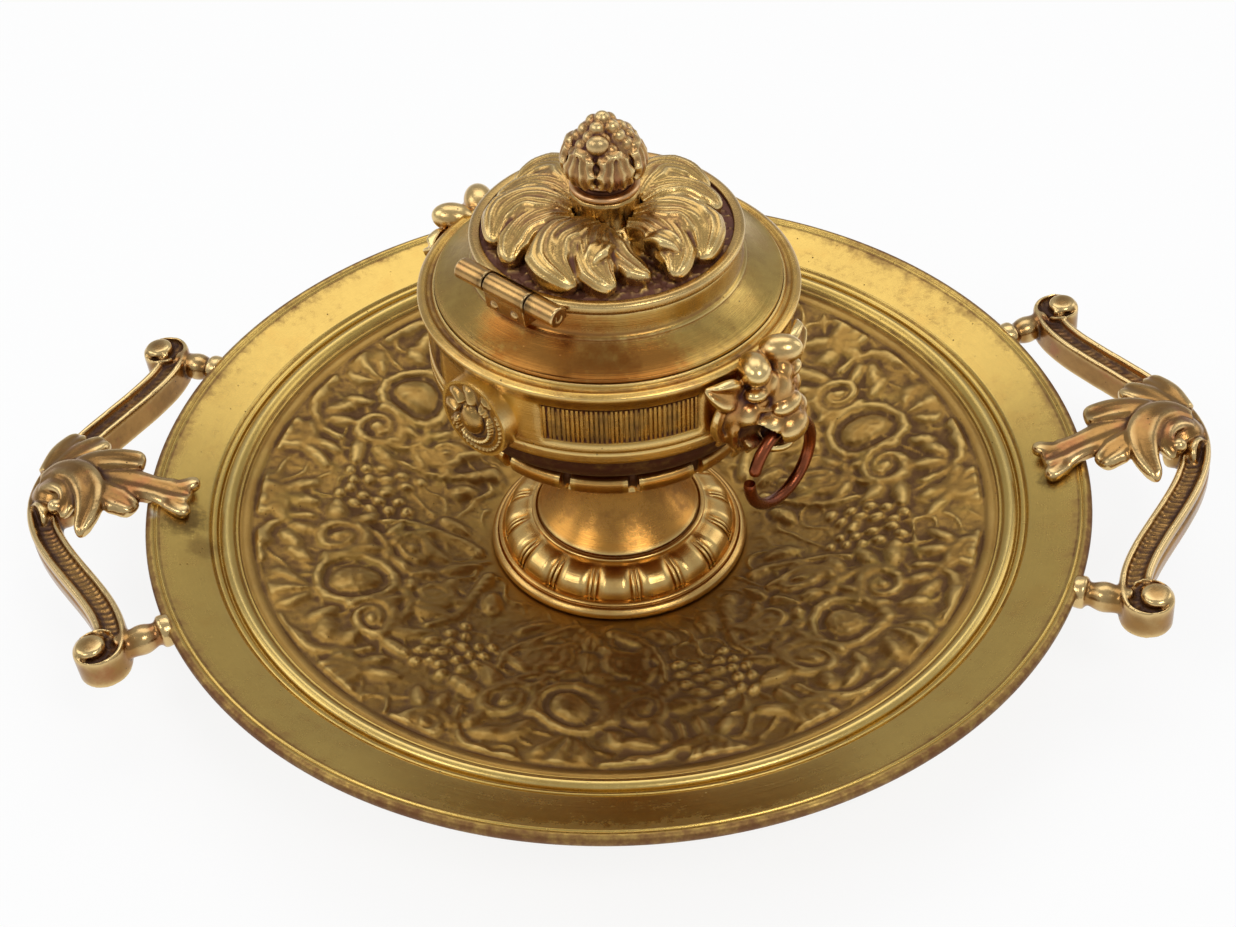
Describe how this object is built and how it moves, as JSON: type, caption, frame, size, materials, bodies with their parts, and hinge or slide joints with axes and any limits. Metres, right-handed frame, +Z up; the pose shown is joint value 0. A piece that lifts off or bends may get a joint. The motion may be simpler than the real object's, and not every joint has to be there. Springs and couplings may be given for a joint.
{
  "type": "desk inkstand",
  "caption": "Round dished tray with two scroll handles and a footed, lidded urn that holds a glass ink liner; lion-mask rings hang on its sides.",
  "frame": {"origin": "centre of the foot ring, on the surface the tray stands on", "axes": "+Z up through the urn, handles along X, hinge and rosettes at 43 degrees left of the front (-Y)"},
  "size_m": [0.2824, 0.2232, 0.1255],
  "materials": {
    "brass": "aged cast brass, rubbed bright on the high parts, brown in the recesses",
    "polished_brass": "turned and polished brass with a thin tarnish",
    "dark_brass": "cast brass with brown patina",
    "copper_wash": "reddish, coppery brass",
    "fixings": "plain turned brass",
    "liner_glass": "clear pressed glass"
  },
  "bodies": {
    "base": {"tray": "brass", "handle_left": "brass", "handle_right": "brass", "handle_tenons": "fixings", "pedestal": "brass", "notched_collar": "brass", "bowl": "brass", "bowl_cover": "polished_brass", "ink_liner": "liner_glass", "hinge_bracket": "polished_brass", "hinge_rivets": "fixings", "mask_front": "dark_brass", "mask_back": "dark_brass", "rosette_front": "brass", "rosette_back": "brass", "mask_screws": "fixings", "rosette_screws": "fixings", "tie_rod": "fixings", "tie_washer": "fixings", "tie_nut": "fixings"},
    "lid": {"lid": "brass", "finial_collar": "copper_wash", "finial": "brass", "finial_stud": "fixings", "finial_nut": "fixings", "hinge_knuckles": "polished_brass", "hinge_pin": "fixings"},
    "ring_front": {"ring_front": "copper_wash"},
    "ring_back": {"ring_back": "copper_wash"}
  },
  "joints": [
    {"name": "lid_hinge", "type": "hinge", "parent": "base", "child": "lid", "pos_m": [-0.0208, -0.02231, 0.0965], "axis": [0.7314, -0.682, 0], "range_deg": [0, 105]},
    {"name": "ring_front_swing", "type": "hinge", "parent": "base", "child": "ring_front", "pos_m": [0.03584, -0.03342, 0.0665], "axis": [-0.682, -0.7314, 0], "range_deg": [-10, 100]},
    {"name": "ring_back_swing", "type": "hinge", "parent": "base", "child": "ring_back", "pos_m": [-0.03584, 0.03342, 0.0665], "axis": [0.682, 0.7314, 0], "range_deg": [-10, 100]}
  ]
}
